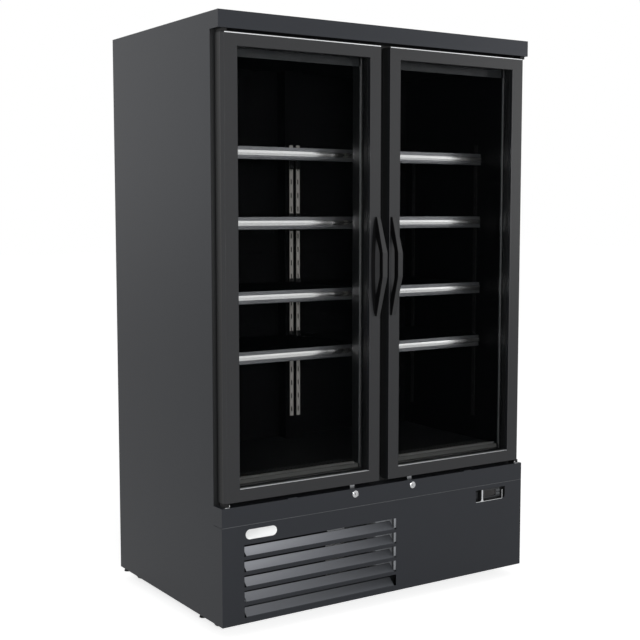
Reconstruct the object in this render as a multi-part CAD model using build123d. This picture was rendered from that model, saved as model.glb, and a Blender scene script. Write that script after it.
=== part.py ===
from build123d import *
import math
import os

# Upright display refrigerator with two hinged glass doors and the cooling unit in its base.
# Millimetres. +Z is up, the doors face -Y, and the origin is on the floor under the middle of the box.

# Cabinet, outside
width = 1200.0
depth = 748.0
height = 1826.0
floor_gap = 40.0
handle_reach = 40.0
sheet = 1.2

# Fronts, from the bottom up
base_panel_height = 304.5
panel_seam = 1.0
lock_strip_height = 59.0
door_gap_below = 12.5
door_gap_above = 10.5
fascia_height = 51.0
shoulder = 51.5
front_return = 30.0

# Insulated box and what it is divided by
wall = 62.0
liner_sheet = 1.5
frame_thickness = 10.0
frame_edge_radius = 4.0
sill_height = 418.0
header_height = 86.0
mullion_width = 124.0
mullion_depth = 44.0
machine_height = 248.0
floor_insulation = 60.0
rear_insulation = 60.0
interior_depth = 599.0
scoop_top = 4.5
scoop_foot = 48.0
column_width = 76.0
column_depth = 51.0
outlet_rows = 3
outlets_in_row = 4
outlet_length = 60.0
outlet_height = 12.0
deck_height = 430.0
deck_slot_pitch = 20.0
deck_slot_width = 7.0
deck_slot_length = 84.0

# Shelves
shelf_levels = [809.5, 998.0, 1230.0, 1448.0]
shelf_outer_gap = 14.0
shelf_inner_gap = 25.0
shelf_front = 152.0
shelf_rear_gap = 5.0
wire = 4.0
wire_count = 15
crossbar = 6.0
price_strip_height = 39.0
price_strip_web = 1.5
price_strip_bulge = 4.5
rail_bottom = 512.0
rail_top = 1481.0
rail_thickness = 3.0
side_rail_width = 16.0
centre_rail_width = 13.5
centre_rail_spacing = 28.0
front_rail_depth = 190.0
rear_rail_gap = 52.0
rail_slot_pitch = 48.0
rail_slot_width = 5.0
rail_slot_height = 18.0
clip_reach = 22.0
clip_thickness = 8.0

# Lamps under the ceiling
lamp_housing_height = 36.0
lamp_housing_depth = 40.0
lamp_width = 26.0

# Doors
door_side_inset = 12.0
door_meeting_gap = 35.5
door_reveal = 2.7
door_thickness = 41.0
front_frame_depth = 13.0
hinge_stile = 53.0
meeting_stile = 41.7
door_rail = 38.5
hinge_bevel = 8.4
edge_chamfer = 1.2
rear_frame_lip = 3.5
pane = 4.0
pane_gap = 16.0
pane_bite = 8.5
pane_clearance = 0.1
gasket_width = 15.0
gasket_head = 9.0
gasket_base = 3.0
gasket_inset = 4.0
gasket_hinge_inset = 9.0

# Door hinges
hinge_pin = 8.0
hinge_axis_inset = 9.0
hinge_axis_depth = 20.0
hinge_pin_reach = 11.0
hinge_plate_width = 18.0
hinge_plate_depth = 34.0
running_clearance = 0.05
face_clearance = 0.3

# Door handles
grip_height = 1079.0
grip_flat = 76.0
grip_up = 151.0
grip_down = 164.0
grip_width = 20.0
grip_end_width = 15.0
grip_thickness = 16.0
grip_end_thickness = 7.0
grip_foot = 50.0
grip_from_meeting_edge = 12.6
grip_edge = 1.5

# Door locks
lock_spacing = 231.0
lock_height = 347.2
lock_collar = 22.0
lock_collar_reach = 3.0
lock_plug = 14.0
lock_plug_length = 17.0
lock_barrel = 19.0
lock_barrel_length = 12.8
lock_pin = 3.4
lock_pin_radius = 6.0
bolt_width = 17.0
bolt_head_width = 24.0
bolt_thickness = 3.0
bolt_travel = 6.0
bolt_head_height = 15.0
bolt_slot_depth = 12.0
bolt_slot_side = 4.5
bolt_slot_rear = 5.0

# Louvres in the lower front panel
louvre_count = 5
louvre_left = 76.5
louvre_right = 650.5
louvre_first = 18.3
louvre_pitch = 47.3
louvre_height = 36.5
louvre_blade = 34.5
louvre_angle = 50.0
louvre_relief = 8.0

# Control pocket in the lower front panel
pocket_left = 991.0
pocket_right = 1124.6
pocket_bottom = 249.0
pocket_top = 290.5
pocket_corner = 10.0
pocket_depth = 18.0
pocket_wall = 4.0
divider_left = 1016.0
divider_right = 1027.0
controller_width = 76.0
controller_height = 34.0
controller_bezel = 4.0
controller_body_depth = 30.0
rocker_width = 15.4
rocker_height = 26.0
rocker_rise = 4.0
rocker_tilt = 8.0

# Cooling unit in the base
pan_height = 55.0
pan_sheet = 2.0
pan_front = 52.0
pan_rim = 12.0
condenser_side_gap = 100.0
condenser_width = 320.0
condenser_height = 176.0
condenser_depth = 50.0
condenser_front = 75.0
condenser_fan_diameter = 160.0
condenser_blades = 5
coil_tube = 9.5
fin_count = 22
fin_groove = 6.0
fan_motor_diameter = 66.0
fan_motor_length = 48.0
fan_shaft = 8.0
compressor_side_gap = 350.0
compressor_depth = 430.0
compressor_diameter = 150.0
compressor_height = 158.0
tray_width = 300.0
tray_depth = 150.0
tray_height = 38.0
tray_wall = 2.0
box_side_gap = 610.0
box_width = 190.0
box_depth = 160.0
box_height = 188.0
box_front = 84.0
evaporator_width = 720.0
evaporator_depth = 230.0
evaporator_height = 90.0
evaporator_front = 190.0
blower_diameter = 60.0
blower_length = 640.0
blower_blades = 14
blower_depth = 643.0
blower_height = 352.0
grille_slots = 7
grille_slot_height = 10.0
grille_slot_pitch = 22.0
grille_side_gap = 150.0

# Castors and levelling feet
castor_side = 54.0
castor_front = 105.0
castor_rear = 678.0
castor_trail = 20.0
castor_wheel = 50.0
castor_tread = 20.0
castor_pad = 60.0
castor_pad_thickness = 3.0
castor_axle = 8.0
castor_kingpin = 10.0
castor_crown = 40.0
castor_leg = 2.0
foot_side = 17.0
foot_front = 157.0
foot_rear = 727.0
foot_pad = 24.0
foot_pad_height = 6.0
foot_stud = 10.0
foot_drop = 13.0
foot_boss = 18.0
foot_boss_height = 10.0

# Planes and levels worked out from the sizes above
half = width / 2
front = handle_reach - (depth + handle_reach) / 2
back = front + depth
bottom = floor_gap
top = bottom + height
strip_bottom = bottom + base_panel_height + panel_seam
strip_top = strip_bottom + lock_strip_height
door_bottom = strip_top + door_gap_below
fascia_bottom = top - fascia_height
door_top = fascia_bottom - door_gap_above
frame_face = front + shoulder
frame_back = frame_face + frame_thickness
sill = bottom + sill_height
header = top - header_height
deck = bottom + deck_height
air_wall = front + interior_depth
shelf_back = interior_depth - column_depth - shelf_rear_gap
rear_rail_depth = interior_depth - rear_rail_gap
opening_side = half - wall
mullion_side = mullion_width / 2
shelf_width = opening_side - shelf_outer_gap - shelf_inner_gap
column_face = air_wall - column_depth
pan_top = bottom + pan_height
machine_roof = bottom + machine_height
condenser_centre = condenser_side_gap + condenser_width / 2 - half
compressor_x = half - compressor_side_gap
box_left = box_side_gap - half
grille_width = width - 2 * grille_side_gap
chamber_floor = machine_roof + floor_insulation + liner_sheet
rear_liner = back - sheet - rear_insulation - liner_sheet

door_face = front + door_reveal
door_back = door_face + door_thickness
rear_frame_face = door_face + front_frame_depth
door_outer = door_side_inset - half
door_inner = -door_meeting_gap / 2
glass_left = door_outer + hinge_stile
glass_right = door_inner - meeting_stile
glass_bottom = door_bottom + door_rail
glass_top = door_top - door_rail
hinge_x = door_outer + hinge_axis_inset
hinge_y = door_face + hinge_axis_depth
lock_x = -lock_spacing / 2
lock_z = bottom + lock_height


def slab(x, y, z):
    """Block between two limits along each axis."""
    size = [high - low for low, high in (x, y, z)]
    middle = [(low + high) / 2 for low, high in (x, y, z)]
    return Pos(*middle) * Box(*size)


def ring(x, y, z, hole_x, hole_z):
    """Frame lying in an XZ plane, with one rectangular hole."""
    return slab(x, y, z) - slab(hole_x, (y[0] - 1, y[1] + 1), hole_z)


def rod(start, axis, length, diameter):
    """Cylinder from a point, along X, Y or Z."""
    turn = {"x": Rot(0, 90, 0), "y": Rot(-90, 0, 0), "z": Rot(0, 0, 0)}[axis]
    upright = Cylinder(diameter / 2, length, align=(Align.CENTER, Align.CENTER, Align.MIN))
    return Pos(*start) * turn * upright


def edges_at(shape, axis, value):
    """Edges that lie wholly in the plane where one coordinate has this value."""
    place = {"x": lambda p: p.X, "y": lambda p: p.Y, "z": lambda p: p.Z}[axis]
    return [e for e in shape.edges() if all(abs(place(v) - value) < 0.01 for v in e.vertices())]


def other_side(shape):
    """Same piece for the other half of the cabinet."""
    return mirror(shape, about=Plane.YZ)


def save(shape, node):
    """Write one node, a single solid or a group of them."""
    export_step(shape, "parts/" + node + ".step")


def join(pieces):
    """One solid from pieces that touch or cross."""
    whole = pieces[0]
    for piece in pieces[1:]:
        whole = whole + piece
    return whole


def group(pieces):
    """Separate solids that share a node."""
    solids = [solid for piece in pieces for solid in piece.solids()]
    return Compound(children=solids)


def side_panel():
    """Left outer sheet with its rear return."""
    outer = slab((-half, sheet - half), (frame_face, back), (bottom, top))
    rear = slab((sheet - half, front_return / 2 - half), (back - sheet, back), (bottom, top))
    return outer + rear


def top_panel():
    """Flat roof sheet between the side panels."""
    inside = half - sheet
    return slab((-inside, inside), (frame_face, back - sheet), (top - sheet, top))


def back_panel():
    """Rear sheet with the slots that let warm air out of the machine bay."""
    inside = half - front_return / 2
    panel = slab((-inside, inside), (back - sheet, back), (bottom, top))
    first = pan_top + grille_slot_height
    slots = []
    for row in range(grille_slots):
        low = first + row * grille_slot_pitch
        for side in (-1, 1):
            centre = side * grille_width / 4
            reach = grille_width / 4 - grille_slot_height
            slots.append(slab((centre - reach, centre + reach), (back - 5, back + 5),
                              (low, low + grille_slot_height)))
    return panel - slots


def folded_front(low, high):
    """Front sheet with side, top and bottom returns, closed by the cabinet behind it."""
    inside = half - sheet
    returns = (front + sheet, frame_face)
    face = slab((-half, half), (front, front + sheet), (low, high))
    left = slab((-half, -inside), returns, (low, high))
    right = slab((inside, half), returns, (low, high))
    upper = slab((-inside, inside), returns, (high - sheet, high))
    lower = slab((-inside, inside), returns, (low, low + sheet))
    return join([face, left, right, upper, lower])


def top_fascia():
    """Head over the doors."""
    return folded_front(fascia_bottom, top)


def lock_strip():
    """Strip under the doors, with the two lock housings and the slots for their bolts."""
    strip = folded_front(strip_bottom, strip_top)
    for side in (-1, 1):
        x = side * lock_spacing / 2
        collar = rod((x, front - lock_collar_reach, lock_z), "y", lock_collar_reach, lock_collar)
        collar = chamfer(edges_at(collar, "y", front - lock_collar_reach), 1.0)
        barrel = rod((x, front, lock_z), "y", lock_barrel_length, lock_barrel)
        bore = rod((x, front - 2 * lock_collar_reach, lock_z), "y", 40,
                   lock_plug + 2 * running_clearance)
        strip = strip + collar + barrel - bore
        wide = bolt_width / 2 + face_clearance
        bolt = bolt_plane()
        slot = slab((x - wide, x + wide), (bolt[0] - face_clearance, bolt[1] + face_clearance),
                    (strip_top - 5, strip_top + 5))
        strip = strip - slot
    return strip


def bolt_plane():
    """Depths of the front and the back of the lock bolt."""
    near = front + lock_barrel_length + 2 * face_clearance + bolt_thickness
    return near, near + bolt_thickness


def lock_plug_shape():
    """Turning plug with its keyway and the driving pin on its inner end."""
    face = front - lock_collar_reach + face_clearance
    bolt = bolt_plane()
    inner = bolt[0] - face_clearance
    plug = rod((lock_x, face, lock_z), "y", inner - face, lock_plug)
    keyway = slab((lock_x - 1, lock_x + 1), (face - 1, face + 4), (lock_z - 4, lock_z + 4))
    pin_x = lock_x + lock_pin_radius
    low = (lock_z - lock_pin / 2, lock_z + lock_pin / 2)
    pin = rod((pin_x, inner - 2, lock_z), "y", bolt_thickness + face_clearance + 2, lock_pin)
    cam = slab((lock_x, pin_x), (inner - bolt_thickness, inner), low)
    cam_end = rod((pin_x, inner - bolt_thickness, lock_z), "y", bolt_thickness, lock_pin)
    return plug - keyway + cam + cam_end + pin


def lock_bolt():
    """Flat bolt that rises from the strip into the door, with the window for the driving pin."""
    y = bolt_plane()
    tip = door_bottom - face_clearance
    half_bolt = bolt_width / 2
    half_head = bolt_head_width / 2
    head_top = lock_z + bolt_head_height / 2
    blade = slab((lock_x - half_bolt, lock_x + half_bolt), y, (lock_z, tip))
    head = slab((lock_x - half_head, lock_x + half_head), y, (head_top - bolt_head_height, head_top))
    lift_error = 0.211 * lock_pin_radius
    side_room = lock_pin / 2 + face_clearance
    window = slab((lock_x - side_room, lock_x + lock_pin_radius + side_room),
                  (y[0] - 1, y[1] + 1), (lock_z - side_room, lock_z + side_room + lift_error))
    return blade + head - window


def lower_front_panel():
    """Louvred sheet: each slot's metal stays on at the bottom edge and is bent inwards."""
    high = bottom + base_panel_height
    inside = half - sheet
    face = slab((-half, half), (front, front + sheet), (bottom, high))
    side = slab((-half, -inside), (front + sheet, frame_face), (bottom, high))
    shelf = (front + sheet, front + front_return)
    upper = slab((-inside, inside), shelf, (high - sheet, high))
    lower = slab((-inside, inside), (front + sheet, front + pan_front), (bottom, bottom + sheet))
    panel = join([face, side, other_side(side), upper, lower])
    for row in range(louvre_count):
        low = bottom + louvre_first + row * louvre_pitch
        slot = slab((louvre_left - half, louvre_right - half), (front - 5, front + 5),
                    (low, low + louvre_height))
        panel = panel - slot + louvre(low)
    corner = pocket_outline(0)
    cut = Pos(0, front + 5, 0) * extrude(corner, 10)
    return panel - cut


def louvre(low):
    """Blade bent inwards and up from the lower edge of its slot, with a rounded bend."""
    lean = math.radians(louvre_angle)
    along = Vector(0, math.sin(lean), math.cos(lean))
    across = Vector(0, math.cos(lean), -math.sin(lean))
    root = Vector(0, front + sheet, low)
    tip = root + along * louvre_blade
    lead = Vector(0, front, low)
    lead_bend = root + along * sheet - across * sheet
    with_thickness = tip - across * sheet
    outline = Polyline(
        (lead.Y, lead.Z - sheet), (root.Y, root.Z - sheet), (root.Y, root.Z), (tip.Y, tip.Z),
        (with_thickness.Y, with_thickness.Z), (lead_bend.Y, lead_bend.Z), (lead.Y, lead.Z),
        close=True)
    blade = extrude(Plane.YZ * make_face(outline), louvre_right - louvre_left - 2 * louvre_relief)
    return Pos(louvre_left + louvre_relief - half, 0, 0) * blade


def pocket_outline(grow):
    """Outline of the control pocket in the XZ plane, round at its two lower corners."""
    left = pocket_left - half - grow
    right = pocket_right - half + grow
    low = bottom + pocket_bottom - grow
    high = bottom + pocket_top + grow
    bend = pocket_corner + grow
    lines = [
        Line((left, high), (left, low + bend)),
        RadiusArc((left, low + bend), (left + bend, low), -bend),
        Line((left + bend, low), (right - bend, low)),
        RadiusArc((right - bend, low), (right, low + bend), -bend),
        Line((right, low + bend), (right, high)),
        Line((right, high), (left, high)),
    ]
    return Plane.XZ * make_face(lines)


def pocket_middle(left, right):
    """Centre of one half of the control pocket."""
    x = (left + right) / 2 - half
    return x, bottom + (pocket_bottom + pocket_top) / 2


def rocker_centre():
    """Middle of the rocker switch and the depth of its axis."""
    x, z = pocket_middle(pocket_left, divider_left)
    return x, front + pocket_depth, z


def control_pocket():
    """Moulded tray behind the panel, with a bay for the switch and a bay for the controller."""
    near = front + sheet
    floor = front + pocket_depth
    outer = Pos(0, floor + pocket_wall, 0) * extrude(pocket_outline(pocket_wall), floor + pocket_wall - near)
    hollow = Pos(0, floor, 0) * extrude(pocket_outline(0), floor - near + 1)
    divider = slab((divider_left - half, divider_right - half), (near, floor),
                   (bottom + pocket_bottom, bottom + pocket_top))
    tray = outer - hollow + divider
    x, z = pocket_middle(divider_right, pocket_right)
    body = slab((x - controller_width / 2 + 3, x + controller_width / 2 - 3), (floor - 1, floor + 20),
                (z - controller_height / 2 + 3, z + controller_height / 2 - 3))
    rx, ry, rz = rocker_centre()
    frame = slab((rx - rocker_width / 2 - 2.5, rx + rocker_width / 2 + 2.5), (floor - rocker_rise, floor + 1),
                 (rz - rocker_height / 2 - 2.5, rz + rocker_height / 2 + 2.5))
    well = slab((rx - rocker_width / 2 - face_clearance, rx + rocker_width / 2 + face_clearance),
                (floor - 10, floor + 20),
                (rz - rocker_height / 2 - face_clearance, rz + rocker_height / 2 + face_clearance))
    return tray + frame - body - well


def rocker_switch():
    """Rocker cap on its cross axis, tipped to its resting side: a drum with a shallow V in its face."""
    x, y, z = rocker_centre()
    radius = rocker_height / 2
    lean = radius * math.tan(math.radians(rocker_tilt))
    drum = rod((-rocker_width / 2, 0, 0), "x", rocker_width, rocker_height)
    face = Polyline((-rocker_rise, 0), (-rocker_rise - lean, radius), (rocker_rise, radius),
                    (rocker_rise, -radius), (-rocker_rise - lean, -radius), close=True)
    keep = Pos(-rocker_width, 0, 0) * extrude(Plane.YZ * make_face(face), 2 * rocker_width)
    return Pos(x, y, z) * Rot(rocker_tilt, 0, 0) * (drum & keep)


def temperature_controller():
    """Panel-mounted controller: a framed face and its body behind the pocket's floor."""
    x, z = pocket_middle(divider_right, pocket_right)
    floor = front + pocket_depth
    half_w = controller_width / 2
    half_h = controller_height / 2
    bezel = slab((x - half_w, x + half_w), (floor - controller_bezel, floor), (z - half_h, z + half_h))
    bezel = chamfer(edges_at(bezel, "y", floor - controller_bezel), 1.5)
    window = slab((x - half_w + 6, x + half_w - 20), (floor - controller_bezel - 1, floor - controller_bezel + 1),
                  (z - half_h + 6, z + half_h - 6))
    body = slab((x - half_w + 3.2, x + half_w - 3.2), (floor, floor + controller_body_depth),
                (z - half_h + 3.2, z + half_h - 3.2))
    return bezel - window + body


def insulated_body():
    """Foamed box: sides, roof, rear, floor and the sloping scoop under the sill."""
    inside = half - sheet
    cavity = opening_side + liner_sheet
    outer = slab((-inside, inside), (frame_back, back - sheet), (machine_roof, top - sheet))
    hollow = slab((-cavity, cavity), (frame_back - 1, rear_liner + liner_sheet),
                  (chamber_floor - liner_sheet, header + liner_sheet))
    outline = Polyline((frame_back, chamber_floor - liner_sheet), (frame_back, sill),
                       (frame_back + scoop_top, sill), (frame_back + scoop_foot, chamber_floor - liner_sheet),
                       close=True)
    scoop = Pos(-cavity, 0, 0) * extrude(Plane.YZ * make_face(outline), 2 * cavity)
    return outer - hollow + scoop


def inner_liner():
    """Thin box that lines the foam, open at the front, with its floor behind the scoop."""
    near = frame_back
    x = opening_side
    outer = x + liner_sheet
    rear = rear_liner + liner_sheet
    left = slab((-outer, -x), (near, rear), (sill, header))
    roof = slab((-outer, outer), (near, rear), (header, header + liner_sheet))
    rear_wall = slab((-outer, outer), (rear_liner, rear), (chamber_floor, header))
    low_left = slab((-outer, -x), (near + scoop_foot, rear), (chamber_floor, sill))
    floor = slab((-outer, outer), (near + scoop_foot, rear), (chamber_floor - liner_sheet, chamber_floor))
    return join([left, other_side(left), roof, rear_wall, low_left, other_side(low_left), floor])


def front_frame():
    """Frame round the two door openings, round at its inner front edges."""
    inside = half - sheet
    y = (frame_face, frame_back)
    frame = ring((-inside, inside), y, (machine_roof, top - sheet),
                 (-opening_side, opening_side), (sill, header))
    inner = [e for e in edges_at(frame, "y", frame_face)
             if all(abs(v.X) < opening_side + 1 and sill - 1 < v.Z < header + 1 for v in e.vertices())]
    return fillet(inner, frame_edge_radius)


def centre_mullion():
    """Post between the two openings, set between the sill and the header."""
    x = (-mullion_side, mullion_side)
    lower = deck + face_clearance
    face = slab(x, (frame_face, frame_back), (sill, header))
    upright = [e for e in edges_at(face, "y", frame_face) if abs(e.vertices()[0].X - e.vertices()[1].X) < 1]
    face = fillet(upright, frame_edge_radius)
    post = slab(x, (frame_back, frame_face + mullion_depth), (lower, header))
    return face + post


def rear_air_wall():
    """Sheet in front of the rear duct with its air outlets, and the closed column in its middle."""
    x = opening_side
    low = deck + face_clearance
    sheet_wall = slab((-x, x), (air_wall, air_wall + liner_sheet), (low, header))
    pitch = (rail_top - rail_bottom) / outlet_rows
    cell = (x - column_width) / outlets_in_row
    outlets = []
    for row in range(outlet_rows):
        z = bottom + rail_bottom + (row + 0.8) * pitch
        for place in range(outlets_in_row):
            centre = column_width + (place + 0.5) * cell
            for side in (-1, 1):
                outlets.append(slab((side * centre - outlet_length / 2, side * centre + outlet_length / 2),
                                    (air_wall - 5, air_wall + 5), (z, z + outlet_height)))
    column = slab((-column_width / 2, column_width / 2), (column_face, air_wall), (low, header))
    bore = slab((liner_sheet - column_width / 2, column_width / 2 - liner_sheet),
                (column_face + liner_sheet, air_wall - 1), (low - 1, header + 1))
    return sheet_wall - outlets + (column - bore)


def slotted_rail(x, y, slot_axis):
    """Upright rail with its row of hook slots, pierced along X or along Y."""
    rail = slab(x, y, (bottom + rail_bottom, bottom + rail_top))
    count = int((rail_top - rail_bottom) // rail_slot_pitch)
    middle_x = (x[0] + x[1]) / 2
    middle_y = (y[0] + y[1]) / 2
    slots = []
    for place in range(count):
        z = bottom + rail_bottom + (place + 0.5) * rail_slot_pitch
        z_limits = (z - rail_slot_height / 2, z + rail_slot_height / 2)
        if slot_axis == "x":
            limits = ((x[0] - 1, x[1] + 1), (middle_y - rail_slot_width / 2, middle_y + rail_slot_width / 2))
        else:
            limits = ((middle_x - rail_slot_width / 2, middle_x + rail_slot_width / 2), (y[0] - 1, y[1] + 1))
        slots.append(slab(*limits, z_limits))
    return rail - slots


def shelf_rails():
    """Two rails on each side wall, two on the air column and two on the back of the mullion."""
    rails = []
    for rail_depth in (front_rail_depth, rear_rail_depth):
        y = front + rail_depth
        rails.append(slotted_rail((-opening_side, rail_thickness - opening_side),
                                  (y - side_rail_width / 2, y + side_rail_width / 2), "x"))
    x = (-(centre_rail_spacing + centre_rail_width) / 2, -(centre_rail_spacing - centre_rail_width) / 2)
    mullion_back = frame_face + mullion_depth
    rails.append(slotted_rail(x, (column_face - rail_thickness, column_face), "y"))
    rails.append(slotted_rail(x, (mullion_back, mullion_back + rail_thickness), "y"))
    return group(rails + [other_side(rail) for rail in rails])


def shelf_under(level):
    """Height of a shelf's underside, where its clips hold it."""
    return bottom + level - wire - crossbar


def shelf_clips():
    """Hook clips under the four corners of every shelf."""
    clips = []
    for level in shelf_levels:
        high = shelf_under(level)
        z = (high - clip_thickness, high)
        rail_face = rail_thickness - opening_side
        for rail_depth in (front_rail_depth, rear_rail_depth):
            y = front + rail_depth
            clips.append(slab((rail_face, rail_face + clip_reach), (y - clip_reach, y + 5), z))
        inner = -(centre_rail_spacing - centre_rail_width) / 2
        column_y = column_face - rail_thickness
        reach = -shelf_inner_gap - clip_reach / 2
        clips.append(slab((reach, inner), (column_y - clip_reach, column_y), z))
        mullion_back = frame_face + mullion_depth + rail_thickness
        arm_end = front + shelf_front + clip_reach
        arm = slab((face_clearance - shelf_inner_gap, inner), (mullion_back, arm_end), z)
        heel = slab((reach, face_clearance - shelf_inner_gap), (front + shelf_front + 2, arm_end), z)
        clips.append(arm + heel)
    return group(clips + [other_side(clip) for clip in clips])


def wire_shelf(level):
    """Welded wire deck: long wires on three cross bars."""
    high = bottom + level
    right = -shelf_inner_gap
    left = right - shelf_width
    y = (front + shelf_front, front + shelf_back)
    pitch = (shelf_width - wire) / (wire_count - 1)
    pieces = []
    for place in (y[0], (y[0] + y[1] - crossbar) / 2, y[1] - crossbar):
        pieces.append(slab((left, right), (place, place + crossbar), (high - wire - crossbar, high - wire)))
    for place in range(wire_count):
        x = left + place * pitch
        pieces.append(slab((x, x + wire), y, (high - wire, high)))
    return Part() + pieces


def price_strip(level):
    """Bowed strip on the front of a shelf, with a flat back."""
    high = bottom + level
    low = high - price_strip_height
    back_y = front + shelf_front
    near = back_y - price_strip_web
    outline = [
        Line((back_y, high), (back_y, low)),
        Line((back_y, low), (near, low)),
        ThreePointArc((near, low), (near - price_strip_bulge, (low + high) / 2), (near, high)),
        Line((near, high), (back_y, high)),
    ]
    strip = extrude(Plane.YZ * make_face(outline), shelf_width)
    return Pos(-shelf_inner_gap - shelf_width, 0, 0) * strip


def floor_deck():
    """Cabinet floor over the evaporator, slotted along its front where the air goes back down."""
    x = opening_side - face_clearance
    y = (frame_back + face_clearance, air_wall - face_clearance)
    plate = slab((-x, x), y, (deck - liner_sheet, deck))
    lip = slab((-x, x), (y[0], y[0] + liner_sheet), (sill, deck))
    count = int((opening_side - mullion_side - 2 * deck_slot_width) // deck_slot_pitch)
    slots = []
    for place in range(count):
        x_slot = mullion_side + deck_slot_pitch * (place + 0.8)
        for side in (-1, 1):
            centre = side * x_slot
            slots.append(slab((centre - deck_slot_width / 2, centre + deck_slot_width / 2),
                              (y[0] + 6, y[0] + 6 + deck_slot_length), (deck - 5, deck + 5)))
    return plate + lip - slots


def lamp_housing():
    """Folded channel under the ceiling of the left bay."""
    x = (1 - opening_side, -mullion_side - 1)
    y = frame_back + face_clearance
    low = header - lamp_housing_height
    far = y + lamp_housing_depth
    face = slab(x, (y, y + liner_sheet), (low, header))
    roof = slab(x, (y, far), (header - liner_sheet, header))
    rear = slab(x, (far - liner_sheet, far), (header - lamp_housing_height / 2, header))
    return join([face, roof, rear])


def lamp():
    """Strip lamp with a domed lens, fixed to the roof of its channel."""
    y = frame_back + face_clearance + lamp_housing_depth / 2
    high = header - liner_sheet
    low = high - lamp_housing_height / 3
    reach = lamp_width / 2
    outline = [
        Line((y - reach, high), (y - reach, low)),
        ThreePointArc((y - reach, low), (y, low - reach / 2), (y + reach, low)),
        Line((y + reach, low), (y + reach, high)),
        Line((y + reach, high), (y - reach, high)),
    ]
    length = opening_side - mullion_side - 2 * clip_reach
    return Pos(clip_reach - opening_side, 0, 0) * extrude(Plane.YZ * make_face(outline), length)


def finned_coil(x, y, z, grooves):
    """Finned block with open grooves between its fins, and return bends on its two ends."""
    block = slab(x, y, z)
    pitch = (x[1] - x[0]) / grooves
    cuts = []
    for place in range(grooves):
        middle = x[0] + (place + 0.5) * pitch
        cuts.append(slab((middle - fin_groove / 2, middle + fin_groove / 2), (y[0] - 1, y[0] + (y[1] - y[0]) * 0.7),
                         (z[0] + 4, z[1] - 4)))
    coil = block - cuts
    tube_pitch = (z[1] - z[0]) / 6
    bend_radius = tube_pitch / 2
    path_y = (y[0] + y[1]) / 2
    for place in range(3):
        centre = z[0] + (2 * place + 1) * tube_pitch
        bend = Rot(90, 0, 0) * Torus(bend_radius, coil_tube / 2)
        reach = bend_radius + coil_tube
        bend = bend & slab((-1, reach), (-reach, reach), (-reach, reach))
        coil = coil + Pos(x[1], path_y, centre) * bend
    return coil


def condenser():
    """Condenser coil behind the left louvres, standing on the pan."""
    x = (condenser_centre - condenser_width / 2, condenser_centre + condenser_width / 2)
    y = (front + condenser_front, front + condenser_front + condenser_depth)
    return finned_coil(x, y, (pan_top, pan_top + condenser_height), fin_count)


def fan_plane():
    """Depth of the back of the condenser fan's plate."""
    return front + condenser_front + condenser_depth + 2


def fan_height():
    """Height of the condenser fan's shaft."""
    return pan_top + condenser_height / 2


def condenser_fan_cowl():
    """Plate with a round inlet ring, and the motor on three arms behind it."""
    x = (condenser_centre - condenser_width / 2, condenser_centre + condenser_width / 2)
    y = fan_plane()
    z = fan_height()
    hole = condenser_fan_diameter + 8
    plate = slab(x, (y - 2, y), (pan_top, pan_top + condenser_height))
    collar = rod((condenser_centre, y, z), "y", 14, hole + 3)
    inlet = rod((condenser_centre, y - 10, z), "y", 40, hole)
    cowl = plate + collar - inlet
    motor_y = y + 46
    motor = rod((condenser_centre, motor_y, z), "y", fan_motor_length, fan_motor_diameter)
    motor = chamfer(edges_at(motor, "y", motor_y + fan_motor_length), 6)
    bore = rod((condenser_centre, motor_y - 1, z), "y", 30, fan_shaft + 2 * running_clearance)
    reach = hole / 2 + 4
    arms = []
    for turn in (90, 210, 330):
        angle = math.radians(turn)
        foot = (condenser_centre + reach * math.cos(angle), z + reach * math.sin(angle))
        post = rod((foot[0], y, foot[1]), "y", motor_y + 6 - y, 6)
        spoke = Pos(condenser_centre, motor_y + 3, z) * Rot(0, -turn, 0) * Pos(reach / 2, 0, 0) * Box(reach, 6, 10)
        arms.append(post + spoke)
    return join([cowl] + arms + [motor]) - bore


def axial_rotor(diameter, hub, depth, blades, pitch_angle):
    """Fan rotor about Y: hub, set blades trimmed to a circle."""
    rotor = rod((0, -depth / 2, 0), "y", depth, hub)
    blade = Pos(diameter / 4, 0, 0) * Rot(pitch_angle, 0, 0) * Box(diameter / 2, 2, depth * 1.6)
    trim = rod((0, -depth, 0), "y", 2 * depth, diameter) & slab((0, diameter), (-depth / 2, depth / 2),
                                                                 (-diameter, diameter))
    blade = blade & trim
    for place in range(blades):
        rotor = rotor + Rot(0, place * 360 / blades, 0) * blade
    return rotor


def condenser_fan():
    """Fan in the cowl's ring, on its shaft."""
    depth_of_hub = 28
    y = fan_plane() + depth_of_hub / 2 + 4
    rotor = axial_rotor(condenser_fan_diameter, 52, depth_of_hub, condenser_blades, 32)
    start = fan_plane() + depth_of_hub
    shaft = rod((0, start, 0), "y", fan_plane() + 46 + 20 - start, fan_shaft)
    return Pos(condenser_centre, y, fan_height()) * rotor + Pos(condenser_centre, 0, fan_height()) * shaft


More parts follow.
